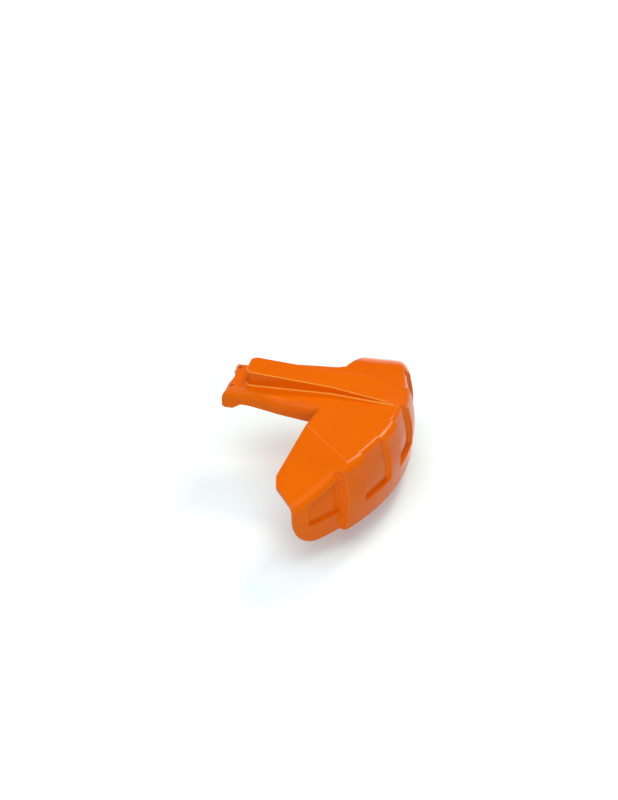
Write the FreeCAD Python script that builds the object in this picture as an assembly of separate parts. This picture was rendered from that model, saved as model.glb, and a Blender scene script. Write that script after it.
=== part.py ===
import FreeCAD, Part
import math
import os

os.makedirs("parts", exist_ok=True)

# Trimmer blade guard: one moulded shell, open at the front and below.
# The origin is midway between the two screw holes, on the top face of the arm and the deck. X runs back
# to the operator, Y to the operator's right and Z up. Sizes are in millimetres, angles in degrees.

# Shell
wall = 3.0
foot_level = -72.0

# Skirt: a wall round an upright axis, widest at a soft knee half way down
skirt_back_x = 190.0
skirt_centre_y = -20.0
skirt_radius = 270.0
skirt_knee_flare = 7.0
skirt_foot_flare = 3.5
skirt_knee_radius = 100.0
skirt_edge_radius = 11.0

# Flap: the left end of the skirt, set in behind a step
step_angle = -31.7
step_depth = 7.0
step_ramp = 1.0
flap_edge_radius = 9.0
flap_corner_radius = 34.0

# Sunk panels with sloping ends: those in the skirt run up into its rim, the one in the flap stops below it
panel_pitch = 15.8
panel_first_angle = -35.8
panel_count = 4
panel_length = 11.2
panel_ramp = 0.8
panel_depth = 4.5
panel_bottom = -51.0
panel_rim_radius = 7.0
flap_panel_drop = 10.0

# Deck: flat in the middle, bent down on the right
deck_left_x = 95.0
deck_left_y = -85.0
deck_right_y = 100.0
deck_right_length = 28.0
deck_right_lean = 21.0
deck_right_corner_radius = 18.0
bend_width = 47.0
bend_radius = 70.0

# Wing: a flat sheet on the left that falls away from the fold at the edge of the deck
fold_angle = -28.5
wing_slope = 17.0
wing_front_x = 80.0
wing_front_y = -160.0
wing_side_x = 83.5
wing_side_y = -176.0
wing_back_x = 101.0
wing_back_y = -201.0
wing_corner_radius = 9.0
fold_clearance = 2.0

# Arm: a channel that reaches from the deck to the gear head
arm_nose_x = -8.0
arm_nose_half = 33.5
arm_nose_length = 28.0
arm_waist_x = 59.0
arm_waist_half = 46.0
arm_root_half = 50.0
arm_bend_radius = 40.0
arm_edge_radius = 9.0
arm_depth = 15.0
arm_root_depth = 19.0
arm_hook_depth = 20.0
arm_hook_length = 12.0
arm_hook_ramp = 8.0
arm_hook_radius = 4.0
left_corner_radius = 7.0
right_corner_radius = 25.0

# Spine: a hollow ridge along the top, high at the gear head and low at the skirt
spine_front_x = 14.0
spine_flare_x = 107.0
spine_back_x = 182.0
spine_front_half = 17.0
spine_back_half = 28.0
spine_front_height = 17.4
spine_back_height = 2.5
spine_tail_slope = 18.0
spine_tail_sink = 0.3
spine_front_radius = 8.0
spine_edge_radius = 1.5
spine_foot_radius = 2.0

# Seat on the gear head
spindle_x = -28.0
neck_radius = 26.0
ring_radius = 36.0
screw_spacing = 40.0
screw_hole_radius = 2.75

# Tools run past the shell by these amounts, and places closer than the last one count as the same
reach = 60.0
overrun = 9.0
overrun_angle = 10.0
touch = 0.1

# Sizes that follow from the ones above
skirt_centre_x = skirt_back_x - skirt_radius
knee_radius = skirt_radius + skirt_knee_flare
flap_radius = skirt_radius - step_depth
fold_end_radius = flap_radius - wall - fold_clearance
rim_radius = skirt_radius - skirt_edge_radius
skirt_right_x = skirt_centre_x + math.sqrt(skirt_radius ** 2 - (deck_right_y - skirt_centre_y) ** 2)
deck_right_x = skirt_right_x - deck_right_length
arm_right_root_x = deck_right_x - deck_right_lean
bend_start_y = deck_right_y - bend_width
front_lean = (deck_left_x - wing_front_x) / (deck_left_y - wing_front_y)
arm_left_root_x = deck_left_x - front_lean * (arm_root_half + deck_left_y)
skirt_outside = knee_radius + reach
below_foot = foot_level - overrun
panel_middles = [panel_first_angle + panel_pitch * index for index in range(panel_count)]


def vec(x, y, z):
    return FreeCAD.Vector(x, y, z)


def on_skirt(radius, angle):
    """Plan point at a radius and an angle round the skirt's axis."""
    turn = math.radians(angle)
    return (skirt_centre_x + radius * math.cos(turn), skirt_centre_y + radius * math.sin(turn))


fold_start = (deck_left_x, deck_left_y)
fold_end = on_skirt(fold_end_radius, fold_angle)
step_start = on_skirt(fold_end_radius, step_angle - step_ramp)
step_inner = on_skirt(flap_radius - wall, step_angle - step_ramp)
step_outer = on_skirt(skirt_radius, step_angle)
step_way = vec(*step_outer, 0) - vec(*step_inner, 0)
step_way.normalize()
step_out = (step_outer[0] + step_way.x * reach, step_outer[1] + step_way.y * reach)


def rounded_outline(points, radii):
    """Closed plan wire through the points, each corner rounded by its radius."""
    corners = []
    for index, point in enumerate(points):
        corner = vec(*point, 0)
        before = vec(*points[index - 1], 0) - corner
        after = vec(*points[(index + 1) % len(points)], 0) - corner
        before.normalize()
        after.normalize()
        half_angle = before.getAngle(after) / 2
        setback = radii[index] / math.tan(half_angle)
        inward = before + after
        if radii[index] > 0:
            inward.normalize()
        bulge = radii[index] / math.sin(half_angle) - radii[index]
        corners.append((corner + before * setback, corner + inward * bulge, corner + after * setback))
    edges = []
    for index, (start, middle, end) in enumerate(corners):
        if radii[index] > 0:
            edges.append(Part.Arc(start, middle, end).toShape())
        next_start = corners[(index + 1) % len(corners)][0]
        edges.append(Part.makeLine(end, next_start))
    return Part.Wire(edges)


def upright(wire, bottom, top):
    """Solid over a plan wire between two levels."""
    face = Part.Face(wire)
    face.translate(vec(0, 0, bottom))
    return face.extrude(vec(0, 0, top - bottom))


def plan_prism(points, bottom, top):
    return upright(rounded_outline(points, [0] * len(points)), bottom, top)


def side_face(corners):
    """Face in the upright plane y = 0 with an outline of (x, z, corner radius) points."""
    wire = rounded_outline([(x, z) for x, z, radius in corners], [radius for x, z, radius in corners])
    wire.rotate(vec(0, 0, 0), vec(1, 0, 0), 90)
    return Part.Face(wire)


def side_prism(corners, half_width):
    """Solid with a side view of (x, z, corner radius) points, reaching to both sides of the middle plane."""
    face = side_face(corners)
    face.translate(vec(0, -half_width, 0))
    return face.extrude(vec(0, 2 * half_width, 0))


def pick(solid, wanted):
    """Edges whose middle point and bounding box pass a test."""
    found = []
    for edge in solid.Edges:
        middle = edge.valueAt((edge.FirstParameter + edge.LastParameter) / 2)
        if wanted(middle, edge.BoundBox):
            found.append(edge)
    return found


def turned(corners):
    """Solid of revolution round the skirt's axis, from (radius, level, corner radius) points.

    The outline stands on the side away from the guard, so that the seam of the solid does too.
    """
    profile = [(-radius, level, corner) for radius, level, corner in corners]
    solid = side_face(profile).revolve(vec(0, 0, 0), vec(0, 0, 1), 360)
    solid.translate(vec(skirt_centre_x, skirt_centre_y, 0))
    return solid


def drum(shrink):
    """Solid inside the skirt's outer face, smaller by shrink, running on below the foot."""
    knee_level = foot_level / 2
    draw_in = (skirt_knee_flare - skirt_foot_flare) / (knee_level - foot_level)
    low_radius = knee_radius - draw_in * (knee_level - below_foot)
    return turned([
        (0, 0, 0),
        (skirt_radius - shrink, 0, 0),
        (knee_radius - shrink, knee_level, skirt_knee_radius),
        (low_radius - shrink, below_foot, 0),
        (0, below_foot, 0),
    ])


def under_bend(shrink):
    """Everything under the deck's top face and inside its right wall, lowered and drawn in by shrink."""
    start_x = skirt_centre_x - skirt_outside
    left_y = skirt_centre_y - skirt_outside
    across = deck_right_y - bend_start_y - shrink

    def bent(distance):
        fall = bend_radius - math.sqrt(bend_radius ** 2 - distance ** 2)
        return vec(start_x, bend_start_y + distance, -fall - shrink)

    left_top = vec(start_x, left_y, -shrink)
    left_foot = vec(start_x, left_y, below_foot)
    right_foot = vec(start_x, bend_start_y + across, below_foot)
    edges = [
        Part.makeLine(left_top, bent(0)),
        Part.Arc(bent(0), bent(across / 2), bent(across)).toShape(),
        Part.makeLine(bent(across), right_foot),
        Part.makeLine(right_foot, left_foot),
        Part.makeLine(left_foot, left_top),
    ]
    return Part.Face(Part.Wire(edges)).extrude(vec(2 * skirt_outside, 0, 0))


def over_bend(shrink):
    """Everything over the bent part of the deck's top face lowered by shrink."""
    corner = vec(skirt_centre_x - skirt_outside, bend_start_y, -reach)
    return Part.makeBox(2 * skirt_outside, bend_width, 2 * reach, corner).cut(under_bend(shrink))


def panel(inset, spread, middle, top):
    """Block over a sunk panel in a wall of the given inset, wider and longer by spread."""
    floor_radius = knee_radius - inset - panel_depth
    half_length = panel_length / 2 - panel_ramp + math.degrees(spread / floor_radius)

    def at_end(side, height):
        angle = half_length + panel_ramp * max(height, -panel_depth) / panel_depth
        return on_skirt(floor_radius + height, middle + side * angle)

    heights = [-skirt_edge_radius - overrun, -panel_depth, panel_depth + overrun]
    outline = [at_end(1, height) for height in heights]
    outline += [at_end(-1, height) for height in reversed(heights)]
    return plan_prism(outline, panel_bottom - spread, top)


def corner_cut(start, end, inward):
    """Block that rounds off the lower front corner of a wall whose front edge lies along a plan line."""
    radius = flap_corner_radius
    along = vec(*end, 0) - vec(*start, 0)
    base = vec(*start, foot_level)
    bow = radius * (1 - math.sqrt(0.5))

    def at(distance, height):
        return base + inward * distance + vec(0, 0, height)

    edges = [
        Part.makeLine(at(-wall, -wall), at(radius, -wall)),
        Part.makeLine(at(radius, -wall), at(radius, 0)),
        Part.Arc(at(radius, 0), at(bow, bow), at(0, radius)).toShape(),
        Part.makeLine(at(0, radius), at(-wall, radius)),
        Part.makeLine(at(-wall, radius), at(-wall, -wall)),
    ]
    return Part.Face(Part.Wire(edges)).extrude(along)


def rounded_drum(inset, shrink, rim_rounding):
    """Drum smaller by inset under the deck lowered by shrink, with its right corner and its rim rounded."""
    solid = drum(inset).common(under_bend(shrink))
    right_y = deck_right_y - shrink
    corners = pick(solid, lambda p, box: box.ZLength > touch and abs(p.y - right_y) < touch)
    solid = solid.makeFillet(deck_right_corner_radius - shrink, corners)
    rims = pick(solid, lambda p, box: box.ZMin > foot_level and abs(p.y - bend_start_y) > wall)
    return solid.makeFillet(rim_rounding - shrink, rims)


def canopy(shrink, bottom):
    """Deck and skirt as a solid, smaller by shrink."""
    solid = rounded_drum(shrink, shrink, skirt_edge_radius)
    panel_floor = rounded_drum(shrink + panel_depth, shrink, panel_rim_radius)
    for middle in panel_middles:
        if middle > step_angle:
            solid = solid.cut(panel(shrink, shrink, middle, reach).cut(panel_floor))
    outline = [
        fold_start,
        step_start,
        step_inner,
        step_out,
        (skirt_centre_x + 2 * skirt_outside, skirt_centre_y),
        (skirt_centre_x + skirt_outside, deck_right_y + reach),
        (deck_right_x, deck_right_y + reach),
        (deck_right_x, deck_right_y),
        (arm_right_root_x, arm_root_half),
        (arm_left_root_x, -arm_root_half),
    ]
    solid = solid.common(plan_prism(outline, bottom, reach))
    return solid.cut(beside_fold(shrink, skirt_outside))


def beside_fold(shrink, height):
    """Everything over or under the wing's sheet, on the outer side of the fold, up to a height."""
    along = vec(*fold_end, 0) - vec(*fold_start, 0)
    along.normalize()
    outward = vec(along.y, -along.x, 0)
    fall = outward * skirt_outside + vec(0, 0, -skirt_outside * math.tan(math.radians(wing_slope)))
    first = vec(*fold_start, -shrink) - along * skirt_outside
    second = vec(*fold_end, -shrink) + along * skirt_outside
    face = Part.Face(Part.makePolygon([first, second, second + fall, first + fall, first]))
    return face.extrude(vec(0, 0, height))


def wing(shrink, wire, bottom):
    """Wing and flap as a solid, smaller by shrink, inside a plan outline."""
    solid = drum(step_depth + shrink).common(beside_fold(shrink, -skirt_outside))

    def at_flap_top(p, box):
        distance = math.hypot(p.x - skirt_centre_x, p.y - skirt_centre_y)
        on_side = distance > fold_end_radius and p.x > skirt_centre_x
        return on_side and p.z > foot_level and box.XLength > reach

    solid = solid.makeFillet(flap_edge_radius - shrink, pick(solid, at_flap_top))
    panel_floor = drum(step_depth + shrink + panel_depth)
    under_wing = beside_fold(flap_panel_drop - shrink, -skirt_outside)
    for middle in panel_middles:
        if middle < step_angle:
            block = panel(step_depth + shrink, shrink, middle, reach).cut(panel_floor)
            solid = solid.cut(block.common(under_wing))
    return solid.common(upright(wire, bottom, reach))


def arm(shrink, bottom):
    """Arm as a solid, smaller by shrink, with its root running on inside the deck."""
    nose_end = arm_nose_x + arm_nose_length
    inside_x = deck_right_x + right_corner_radius
    right_x = (arm_right_root_x + deck_right_x) / 2
    right_y = (arm_root_half + deck_right_y) / 2
    left = [
        (arm_nose_x, -arm_nose_half, 0),
        (nose_end, -arm_nose_half, arm_bend_radius),
        (arm_waist_x, -arm_waist_half, arm_bend_radius),
        (arm_left_root_x, -arm_root_half, left_corner_radius),
        (deck_left_x, deck_left_y, 0),
        (inside_x, -arm_root_half, 0),
    ]
    right = [
        (inside_x, arm_root_half, 0),
        (right_x, right_y, 0),
        (arm_right_root_x, arm_root_half, right_corner_radius),
        (arm_waist_x, arm_waist_half, arm_bend_radius),
        (nose_end, arm_nose_half, arm_bend_radius),
        (arm_nose_x, arm_nose_half, 0),
    ]
    corners = left + right
    wire = rounded_outline([(x, y) for x, y, radius in corners], [radius for x, y, radius in corners])
    if shrink > 0:
        wire = wire.makeOffset2D(-shrink)
    solid = upright(wire, bottom, -shrink)
    tops = pick(solid, lambda p, box: box.ZMin > -shrink - touch)
    return solid.makeFillet(arm_edge_radius - shrink, tops).cut(over_bend(shrink))


def arm_foot():
    """Block over the lower edge of the arm's side walls."""
    hook_end = arm_nose_x + arm_hook_length
    outline = [
        (arm_nose_x, -arm_hook_depth, arm_hook_radius),
        (hook_end, -arm_hook_depth, arm_hook_radius),
        (hook_end + arm_hook_ramp, -arm_depth, arm_hook_radius),
        (arm_waist_x, -arm_depth, arm_bend_radius),
        (arm_left_root_x, -arm_root_depth, 0),
        (skirt_outside, -arm_root_depth, 0),
        (skirt_outside, reach, 0),
        (arm_nose_x, reach, 0),
    ]
    return side_prism(outline, skirt_outside)


def spine_outline(shrink):
    """Plan wire of the ridge, smaller by shrink."""
    front_x = spine_front_x + shrink
    front_half = spine_front_half - shrink
    back_half = spine_back_half - shrink
    outline = [
        (front_x, -front_half),
        (spine_flare_x, -front_half),
        (spine_back_x, -back_half),
        (spine_back_x, back_half),
        (spine_flare_x, front_half),
        (front_x, front_half),
    ]
    front_radius = spine_front_radius - shrink
    return rounded_outline(outline, [front_radius, 0, 0, 0, 0, front_radius])


def spine_foot():
    """Hollow rounding between the ridge and the deck, on a slice of the deck as wide as the rounding."""
    slab = upright(spine_outline(-spine_foot_radius - overrun), -wall, 0)
    ridge = upright(spine_outline(0), -wall, 2 * spine_foot_radius)
    solid = slab.fuse(ridge).removeSplitter()

    def at_foot(p, box):
        inside = spine_front_x - touch < p.x < spine_back_x - touch and abs(p.y) < spine_back_half
        return inside and abs(p.z) < touch

    solid = solid.makeFillet(spine_foot_radius, pick(solid, at_foot))
    high = spine_foot_radius
    flat = turned([(0, high, 0), (rim_radius, high, 0), (rim_radius, -wall, 0), (0, -wall, 0)])
    solid = solid.common(upright(spine_outline(-spine_foot_radius), -wall, high))
    return solid.common(flat).common(spine_cap(0))


def spine_cap(shrink):
    """Cone round the skirt's axis that leads the end of the ridge down into the rim, lowered by shrink."""
    slope = math.radians(spine_tail_slope)
    end_radius = rim_radius + skirt_edge_radius * math.sin(slope)
    end_height = skirt_edge_radius * (math.cos(slope) - 1) - spine_tail_sink - shrink
    return turned([
        (0, end_height + end_radius * math.tan(slope), 0),
        (end_radius, end_height, 0),
        (end_radius, below_foot, 0),
        (0, below_foot, 0),
    ])


def spine(shrink, bottom):
    """Ridge as a solid, smaller by shrink."""
    wire = spine_outline(shrink)
    profile = [
        (spine_front_x, bottom, 0),
        (spine_back_x, bottom, 0),
        (spine_back_x, spine_back_height - shrink, 0),
        (spine_front_x, spine_front_height - shrink, 0),
    ]
    solid = upright(wire, bottom, reach).common(side_prism(profile, reach)).common(spine_cap(shrink))
    if shrink > 0:
        return solid

    def on_top(p, box):
        upright_edge = box.XLength + box.YLength < touch
        crosswise = box.XLength < touch and p.x > spine_front_x + touch
        return p.z > wall and not upright_edge and not crosswise

    return solid.makeFillet(spine_edge_radius, pick(solid, on_top))


# Plan outline of the wing, and a wider one for its hollow, which is open along the front and the side
wing_front = (wing_front_x, wing_front_y)
wing_side = (wing_side_x, wing_side_y)
side_way = vec(wing_back_x - wing_side_x, wing_back_y - wing_side_y, 0)
side_way.normalize()
side_end = (wing_back_x + side_way.x * reach, wing_back_y + side_way.y * reach)
beyond_flap = on_skirt(2 * skirt_outside, step_angle - overrun_angle)
wing_points = [fold_start, step_start, step_inner, step_out, beyond_flap, side_end, wing_side, wing_front]
wing_radii = [0, 0, 0, 0, 0, 0, wing_corner_radius, wing_corner_radius]
wing_wire = rounded_outline(wing_points, wing_radii)
open_points = [fold_start, step_start, step_inner, step_out, beyond_flap]
for x, y in (side_end, wing_side, wing_front, fold_start):
    open_points.append((x - overrun, y))
open_wire = rounded_outline(open_points, [0] * len(open_points))

# Outer body
outer_canopy = canopy(0, foot_level)
outer_wing = wing(0, wing_wire, foot_level)
outer_arm = arm(0, -arm_hook_depth).common(arm_foot())
outer = outer_canopy.fuse([outer_wing, outer_arm, spine(0, -wall), spine_foot()])

# Hollow, with the step's own wall left standing
hollow_canopy = canopy(wall, below_foot)
hollow_wing = wing(wall, open_wire, below_foot)
step_x = -step_way.y * wall
step_y = step_way.x * wall
step_points = [
    step_inner,
    step_out,
    (step_out[0] + step_x, step_out[1] + step_y),
    (step_inner[0] + step_x, step_inner[1] + step_y),
]
hollow_canopy = hollow_canopy.cut(plan_prism(step_points, below_foot, reach))
hollow = hollow_canopy.fuse([hollow_wing, arm(wall, below_foot), spine(wall, -wall - overrun)])

guard = outer.cut(hollow)

# Rounded lower corners of the flap and the right wall
side_inward = vec(-side_way.y, side_way.x, 0)
guard = guard.cut(corner_cut(wing_side, side_end, side_inward))
right_start = (deck_right_x, bend_start_y)
right_end = (deck_right_x, deck_right_y + reach)
guard = guard.cut(corner_cut(right_start, right_end, vec(1, 0, 0)))

# Seat: a neck opening in the sheet, room for the gear head's ring under it, two screw holes
neck = Part.makeCylinder(neck_radius, 2 * reach, vec(spindle_x, 0, -reach))
ring = Part.makeCylinder(ring_radius, reach, vec(spindle_x, 0, -reach - wall))
guard = guard.cut(neck).cut(ring)
for side in (-1, 1):
    place = vec(0, side * screw_spacing / 2, -reach)
    guard = guard.cut(Part.makeCylinder(screw_hole_radius, 2 * reach, place))

guard.exportStep("parts/guard.step")
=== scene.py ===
import math

import bpy
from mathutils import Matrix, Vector

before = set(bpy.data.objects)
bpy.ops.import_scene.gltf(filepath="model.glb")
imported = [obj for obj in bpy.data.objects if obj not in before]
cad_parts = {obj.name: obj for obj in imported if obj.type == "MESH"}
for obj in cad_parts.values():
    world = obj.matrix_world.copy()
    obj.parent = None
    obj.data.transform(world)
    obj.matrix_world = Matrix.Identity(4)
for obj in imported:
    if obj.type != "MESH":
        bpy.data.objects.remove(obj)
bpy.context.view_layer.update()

# Camera: place in metres, angles in degrees, lens in millimetres.
# The image is 618 by 800, so the sensor's width lies along its height.
CAMERA_PLACE = (0.4926, -1.9403, 1.1252)
CAMERA_TILT = 60.0
CAMERA_TURN = 12.0
CAMERA_LENS = 95.83

# Floor and backdrop, in metres
FLOOR_LEVEL = -0.097
FLOOR_RADIUS = 12.0
BACKDROP_HEIGHT = 2.9
ROUND_SIDES = 96
FLOOR_COLOUR = (0.78, 0.90, 0.92, 1)
FLOOR_ROUGHNESS = 0.9
FLOOR_SPECULAR = 0.1

# The floor glows by itself away from the shadow: distances from this point, then strengths
SHADOW_CENTRE = (0.1, -0.05, 0)
FLOOR_GLOW = {"From_Min": 0.25, "From_Max": 0.5, "To_Min": 0.24, "To_Max": 1.0}
GLOW_COLOUR = (1, 1, 1, 1)

# World light by the height of its direction
HORIZON = (0.06, 0.06, 0.06, 1)
ZENITH = (0.5, 0.5, 0.5, 1)
SKY_STOPS = [(0.65, HORIZON), (0.95, ZENITH)]

# Lamps: name, place and aim in metres, width, height, power in watts, colour
NEUTRAL = (1, 1, 1)
WARM = (1, 0.9, 0.75)
LAMPS = [
    ("overhead", (0.0, -0.5, 1.15), (0.05, -0.1, 0), 1.4, 1.4, 11, NEUTRAL),
    ("front_fill", (0.8, -1.7, 0.7), (0.1, -0.1, -0.04), 1.2, 0.8, 10, NEUTRAL),
    ("rim_light", (0.5, 1.2, 1.2), (0.15, -0.05, 0), 0.5, 0.45, 12, WARM),
    ("fold_light", (-0.5, 1.4, 1.2), (0.12, -0.11, 0), 0.3, 0.3, 2, NEUTRAL),
]

# Orange plastic: flow marks tint it and vary its gloss
ORANGE = (0.85, 0.150, 0.001, 1)
ORANGE_DEEP = (0.82, 0.138, 0.001, 1)
FLOW_MARKS = {"Scale": 14.0, "Detail": 3.0, "Distortion": 0.8}
FLOW_STOPS = [(0.35, ORANGE_DEEP), (0.6, ORANGE)]
GLOSS = {"To_Min": 0.12, "To_Max": 0.2}
SPECULAR = 0.09
GRAIN = {"Scale": 1400.0, "Detail": 2.0}
RIPPLE = {"Strength": 0.04, "Distance": 0.0004}

# Painted highlight on convex edges, with some wear: how far the softened normal leaves the true one,
# and how patchy the paler edges are
ORANGE_HIGHLIGHT_AND_WEAR = (1.0, 0.46, 0.06, 1)
SOFT_EDGE = {"samples": 6, "Radius": 0.0012}
EDGE_LIKENESS = {"From_Min": 0.997, "From_Max": 0.94}
EDGE_PATCHES = {"Scale": 90.0, "Detail": 4.0}
EDGE_HIGHLIGHT_SHARE = {"From_Min": 0.3, "From_Max": 0.6, "To_Min": 0.08, "To_Max": 0.35}

# Painted highlight on the roundings of the ridge, by height over the deck in metres and by the
# normal's upward share
OVER_DECK = {"From_Min": 0.0, "From_Max": 0.0003}
NO_RIDGE_HIGHLIGHT = (0, 0, 0, 1)
RIDGE_HIGHLIGHT = (0.7, 0.7, 0.7, 1)
SLANT_STOPS = [(0.15, NO_RIDGE_HIGHLIGHT), (0.45, RIDGE_HIGHLIGHT), (0.75, RIDGE_HIGHLIGHT), (0.93, NO_RIDGE_HIGHLIGHT)]

# Sockets of a mix node that mixes colours
MIX_SHARE = 0
MIX_FIRST = 6
MIX_SECOND = 7
MIX_RESULT = 2


def node_adder(tree):
    """Function that adds a node to the tree and sets its properties and inputs by name."""

    def add(kind, **values):
        node = tree.nodes.new(kind)
        for name, value in values.items():
            if hasattr(node, name):
                setattr(node, name, value)
            else:
                node.inputs[name.replace("_", " ")].default_value = value
        return node

    return add


def shader_tree(name):
    """New material with its principled shader, and functions that add and link nodes."""
    material = bpy.data.materials.new(name)
    material.use_nodes = True
    tree = material.node_tree
    return material, tree.nodes["Principled BSDF"], node_adder(tree), tree.links.new


def fill_ramp(node, stops):
    """Gives a colour ramp these stops of position and colour in place of its own."""
    elements = node.color_ramp.elements
    elements.remove(elements[-1])
    elements[0].position, elements[0].color = stops[0]
    for position, colour in stops[1:]:
        elements.new(position).color = colour


def moulded_plastic():
    """Semi-gloss moulded orange: faint flow marks, fine grain, convex edges painted paler as a
    highlight, with some wear.
    """
    material, shader, add, link = shader_tree("guard_plastic")
    place = add("ShaderNodeTexCoord").outputs["Object"]
    true_normal = add("ShaderNodeNewGeometry").outputs["Normal"]

    flow = add("ShaderNodeTexNoise", **FLOW_MARKS)
    link(place, flow.inputs["Vector"])
    tint = add("ShaderNodeValToRGB")
    fill_ramp(tint, FLOW_STOPS)
    link(flow.outputs["Fac"], tint.inputs["Fac"])
    gloss = add("ShaderNodeMapRange", **GLOSS)
    link(flow.outputs["Fac"], gloss.inputs["Value"])
    link(gloss.outputs["Result"], shader.inputs["Roughness"])
    shader.inputs["Specular IOR Level"].default_value = SPECULAR

    # Convex edges get a painted highlight, with some wear, where the softened normal leaves the true
    # one
    soft = add("ShaderNodeBevel", **SOFT_EDGE)
    likeness = add("ShaderNodeVectorMath", operation="DOT_PRODUCT")
    link(soft.outputs["Normal"], likeness.inputs[0])
    link(true_normal, likeness.inputs[1])
    edge = add("ShaderNodeMapRange", **EDGE_LIKENESS)
    link(likeness.outputs["Value"], edge.inputs["Value"])
    edge_patches = add("ShaderNodeTexNoise", **EDGE_PATCHES)
    link(place, edge_patches.inputs["Vector"])
    edge_share = add("ShaderNodeMapRange", **EDGE_HIGHLIGHT_SHARE)
    link(edge_patches.outputs["Fac"], edge_share.inputs["Value"])
    edge_highlight_and_wear = add("ShaderNodeMath", operation="MULTIPLY")
    link(edge.outputs["Result"], edge_highlight_and_wear.inputs[0])
    link(edge_share.outputs["Result"], edge_highlight_and_wear.inputs[1])

    # The roundings of the ridge, the only slanting faces above the deck, get a painted highlight too
    height = add("ShaderNodeSeparateXYZ")
    link(place, height.inputs["Vector"])
    above = add("ShaderNodeMapRange", **OVER_DECK)
    link(height.outputs["Z"], above.inputs["Value"])
    slant = add("ShaderNodeSeparateXYZ")
    link(true_normal, slant.inputs["Vector"])
    slanting = add("ShaderNodeValToRGB")
    fill_ramp(slanting, SLANT_STOPS)
    link(slant.outputs["Z"], slanting.inputs["Fac"])
    ridge_highlight = add("ShaderNodeMath", operation="MULTIPLY")
    link(above.outputs["Result"], ridge_highlight.inputs[0])
    link(slanting.outputs["Color"], ridge_highlight.inputs[1])

    # Painted highlight on the ridge, and on the edges with some wear, mixes a paler orange into the
    # base colour
    highlight_and_wear = add("ShaderNodeMath", operation="MAXIMUM")
    link(ridge_highlight.outputs["Value"], highlight_and_wear.inputs[0])
    link(edge_highlight_and_wear.outputs["Value"], highlight_and_wear.inputs[1])
    colour = add("ShaderNodeMix", data_type="RGBA")
    link(highlight_and_wear.outputs["Value"], colour.inputs[MIX_SHARE])
    link(tint.outputs["Color"], colour.inputs[MIX_FIRST])
    colour.inputs[MIX_SECOND].default_value = ORANGE_HIGHLIGHT_AND_WEAR
    link(colour.outputs[MIX_RESULT], shader.inputs["Base Color"])

    grain = add("ShaderNodeTexNoise", **GRAIN)
    link(place, grain.inputs["Vector"])
    ripple = add("ShaderNodeBump", **RIPPLE)
    link(grain.outputs["Fac"], ripple.inputs["Height"])
    link(soft.outputs["Normal"], ripple.inputs["Normal"])
    link(ripple.outputs["Normal"], shader.inputs["Normal"])
    return material


def glowing_white():
    """Pale material that keeps the shadow and fades to white round it, in reflections too."""
    material, shader, add, link = shader_tree("floor_white")
    shader.inputs["Base Color"].default_value = FLOOR_COLOUR
    shader.inputs["Roughness"].default_value = FLOOR_ROUGHNESS
    shader.inputs["Specular IOR Level"].default_value = FLOOR_SPECULAR
    shader.inputs["Emission Color"].default_value = GLOW_COLOUR
    rays = add("ShaderNodeLightPath")
    seen = add("ShaderNodeMath", operation="MAXIMUM")
    link(rays.outputs["Is Camera Ray"], seen.inputs[0])
    link(rays.outputs["Is Glossy Ray"], seen.inputs[1])
    shown = add("ShaderNodeMath", operation="MAXIMUM")
    link(seen.outputs["Value"], shown.inputs[0])
    link(rays.outputs["Is Transmission Ray"], shown.inputs[1])
    spot = add("ShaderNodeVectorMath", operation="DISTANCE")
    spot.inputs[1].default_value = SHADOW_CENTRE
    link(add("ShaderNodeTexCoord").outputs["Object"], spot.inputs[0])
    fade = add("ShaderNodeMapRange", interpolation_type="SMOOTHSTEP", **FLOOR_GLOW)
    link(spot.outputs["Value"], fade.inputs["Value"])
    lift = add("ShaderNodeMath", operation="MULTIPLY")
    link(shown.outputs["Value"], lift.inputs[0])
    link(fade.outputs["Result"], lift.inputs[1])
    link(lift.outputs["Value"], shader.inputs["Emission Strength"])
    return material


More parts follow.
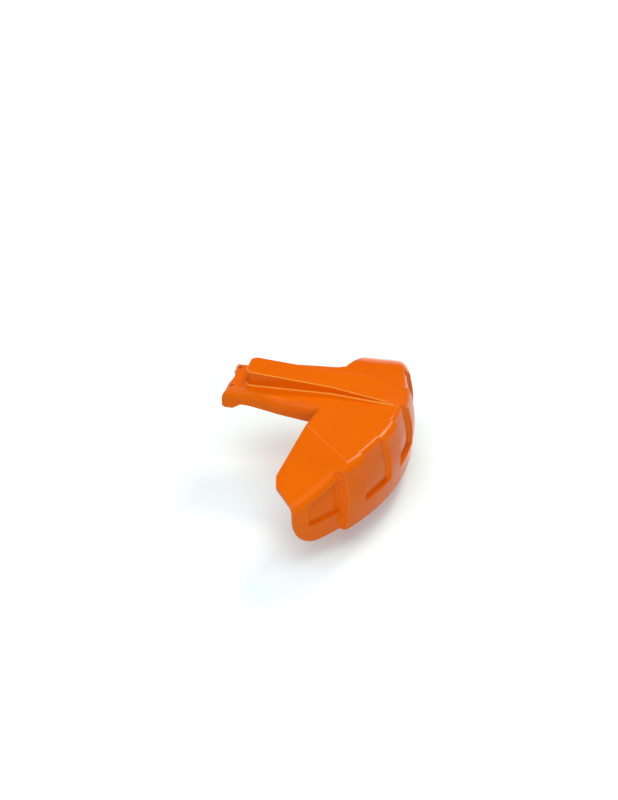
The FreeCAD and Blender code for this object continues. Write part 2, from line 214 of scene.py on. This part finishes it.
def pale_floor():
    """Round floor with a low backdrop round its edge."""
    material = glowing_white()
    level = (0, 0, FLOOR_LEVEL)
    bpy.ops.mesh.primitive_circle_add(
        vertices=ROUND_SIDES, radius=FLOOR_RADIUS, fill_type="NGON", location=level)
    floor = bpy.context.object
    floor.name = "floor"
    floor.data.materials.append(material)

    # Half of the open cylinder is under the floor
    bpy.ops.mesh.primitive_cylinder_add(
        vertices=ROUND_SIDES, radius=FLOOR_RADIUS, depth=2 * BACKDROP_HEIGHT,
        end_fill_type="NOTHING", location=level)
    backdrop = bpy.context.object
    backdrop.name = "backdrop"
    backdrop.data.materials.append(material)


def softbox(name, place, aim, width, height, power, colour):
    """Rectangular lamp at a place, turned to shine at its aim."""
    lamp = bpy.data.lights.new(name, "AREA")
    lamp.shape = "RECTANGLE"
    lamp.size = width
    lamp.size_y = height
    lamp.energy = power
    lamp.color = colour
    box = bpy.data.objects.new(name, lamp)
    box.location = place
    way = Vector(aim) - Vector(place)
    box.rotation_euler = way.to_track_quat("-Z", "Y").to_euler()
    bpy.context.scene.collection.objects.link(box)


def studio_sky():
    """Even pale light from above that darkens towards the horizon, like a studio with grey walls."""
    world = bpy.data.worlds.new("studio")
    world.use_nodes = True
    bpy.context.scene.world = world
    tree = world.node_tree
    add = node_adder(tree)
    link = tree.links.new
    direction = add("ShaderNodeSeparateXYZ")
    link(add("ShaderNodeTexCoord").outputs["Generated"], direction.inputs["Vector"])
    ramp = add("ShaderNodeValToRGB")
    fill_ramp(ramp, SKY_STOPS)
    link(direction.outputs["Z"], ramp.inputs["Fac"])
    link(ramp.outputs["Color"], tree.nodes["Background"].inputs["Color"])


def photo_camera():
    """Camera that frames the guard as the photograph does."""
    lens = bpy.data.cameras.new("photo_camera")
    lens.lens = CAMERA_LENS
    camera = bpy.data.objects.new("photo_camera", lens)
    camera.location = CAMERA_PLACE
    camera.rotation_euler = (math.radians(CAMERA_TILT), 0, math.radians(CAMERA_TURN))
    bpy.context.scene.collection.objects.link(camera)
    bpy.context.scene.camera = camera


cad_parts["guard"].data.materials[0] = moulded_plastic()
pale_floor()
studio_sky()
for lamp_values in LAMPS:
    softbox(*lamp_values)
photo_camera()
bpy.context.scene.view_settings.view_transform = "Standard"
